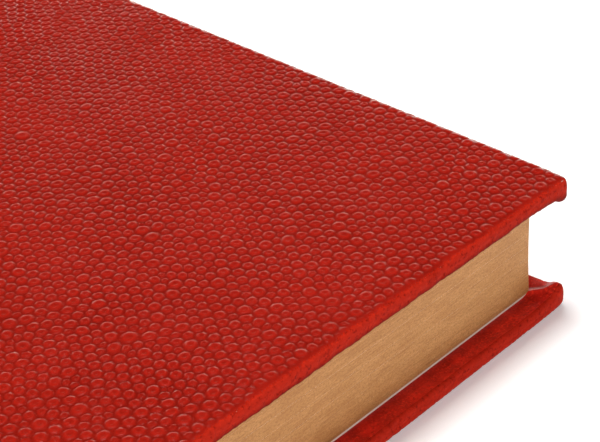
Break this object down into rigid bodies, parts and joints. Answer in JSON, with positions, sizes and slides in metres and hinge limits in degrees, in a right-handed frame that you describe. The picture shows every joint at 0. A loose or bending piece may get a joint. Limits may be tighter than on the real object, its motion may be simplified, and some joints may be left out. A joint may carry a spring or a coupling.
{
  "type": "hardback notebook",
  "caption": "Hardback notebook in pebble-grained red leather with gilt page edges; the covers, spine and sewn sections open on a case binding.",
  "frame": {"origin": "middle of the shut book's footprint, on the surface that the back cover lies on", "axes": "+X from the spine to the fore edge, +Y from tail to head, +Z from the back cover to the front cover"},
  "size_m": [0.1552, 0.2196, 0.0274],
  "materials": {
    "leather": "pebble-grained, semi-gloss",
    "pages": "matte leaves with satin gilt edges",
    "endpaper": "matte",
    "card": "matte",
    "linen": "matte weave"
  },
  "bodies": {
    "back_cover": {"back_leather": "leather", "back_board": "card", "back_infill": "card", "back_pastedown": "endpaper", "back_flyleaf": "endpaper", "section_1": "pages", "rear_joint_leather": "leather", "sewing_thread": "linen", "sewing_tapes": "linen", "mull": "linen", "headband": "linen", "tailband": "linen"},
    "spine": {"spine_board": "card", "spine_leather": "leather", "front_joint_leather": "leather"},
    "front_cover": {"front_leather": "leather", "front_board": "card", "front_infill": "card", "front_pastedown": "endpaper"},
    "section_2": {"section_2": "pages"},
    "section_3": {"section_3": "pages"},
    "section_4": {"section_4": "pages"},
    "section_5": {"section_5": "pages"},
    "section_6": {"section_6": "pages"},
    "section_7": {"section_7": "pages"},
    "section_8": {"section_8": "pages"},
    "front_flyleaf": {"front_flyleaf": "endpaper"}
  },
  "joints": [
    {"name": "rear_joint", "type": "hinge", "parent": "back_cover", "child": "spine", "pos_m": [-0.0755, 0, 0.0033], "axis": [0, -1, 0], "range_deg": [0, 90], "deforming": ["rear_joint_leather"]},
    {"name": "front_joint", "type": "hinge", "parent": "spine", "child": "front_cover", "pos_m": [-0.0755, 0, 0.0241], "axis": [0, -1, 0], "range_deg": [0, 90], "deforming": ["front_joint_leather"]},
    {"name": "middle_fold", "type": "hinge", "parent": "back_cover", "child": "section_5", "pos_m": [-0.0755, 0, 0.0137], "axis": [0, -1, 0], "range_deg": [0, 90], "deforming": ["mull", "sewing_tapes", "sewing_thread", "headband", "tailband"]},
    {"name": "section_4_turn", "type": "hinge", "parent": "back_cover", "child": "section_4", "pos_m": [-0.075, 0, 0.0137], "axis": [0, -1, 0], "range_deg": [0, 39.6]},
    {"name": "section_3_turn", "type": "hinge", "parent": "back_cover", "child": "section_3", "pos_m": [-0.075, 0, 0.01115], "axis": [0, -1, 0], "range_deg": [0, 19.35]},
    {"name": "section_2_turn", "type": "hinge", "parent": "back_cover", "child": "section_2", "pos_m": [-0.075, 0, 0.0086], "axis": [0, -1, 0], "range_deg": [0, 9.45]},
    {"name": "section_6_turn", "type": "hinge", "parent": "section_5", "child": "section_6", "pos_m": [-0.075, 0, 0.0188], "axis": [0, -1, 0], "range_deg": [0, 20.25]},
    {"name": "section_7_turn", "type": "hinge", "parent": "section_5", "child": "section_7", "pos_m": [-0.075, 0, 0.02135], "axis": [0, -1, 0], "range_deg": [0, 40.95]},
    {"name": "section_8_turn", "type": "hinge", "parent": "section_5", "child": "section_8", "pos_m": [-0.075, 0, 0.0239], "axis": [0, -1, 0], "range_deg": [0, 82.8]},
    {"name": "flyleaf_turn", "type": "hinge", "parent": "section_5", "child": "front_flyleaf", "pos_m": [-0.075, 0, 0.0239], "axis": [0, -1, 0], "range_deg": [0, 85.5]}
  ],
  "couplings": [
    {"joint": "middle_fold", "follows": "rear_joint", "ratio": 1},
    {"joint": "section_4_turn", "follows": "rear_joint", "ratio": 0.44},
    {"joint": "section_3_turn", "follows": "rear_joint", "ratio": 0.215},
    {"joint": "section_2_turn", "follows": "rear_joint", "ratio": 0.105},
    {"joint": "section_6_turn", "follows": "front_joint", "ratio": 0.225},
    {"joint": "section_7_turn", "follows": "front_joint", "ratio": 0.455},
    {"joint": "section_8_turn", "follows": "front_joint", "ratio": 0.92},
    {"joint": "flyleaf_turn", "follows": "front_joint", "ratio": 0.95}
  ]
}
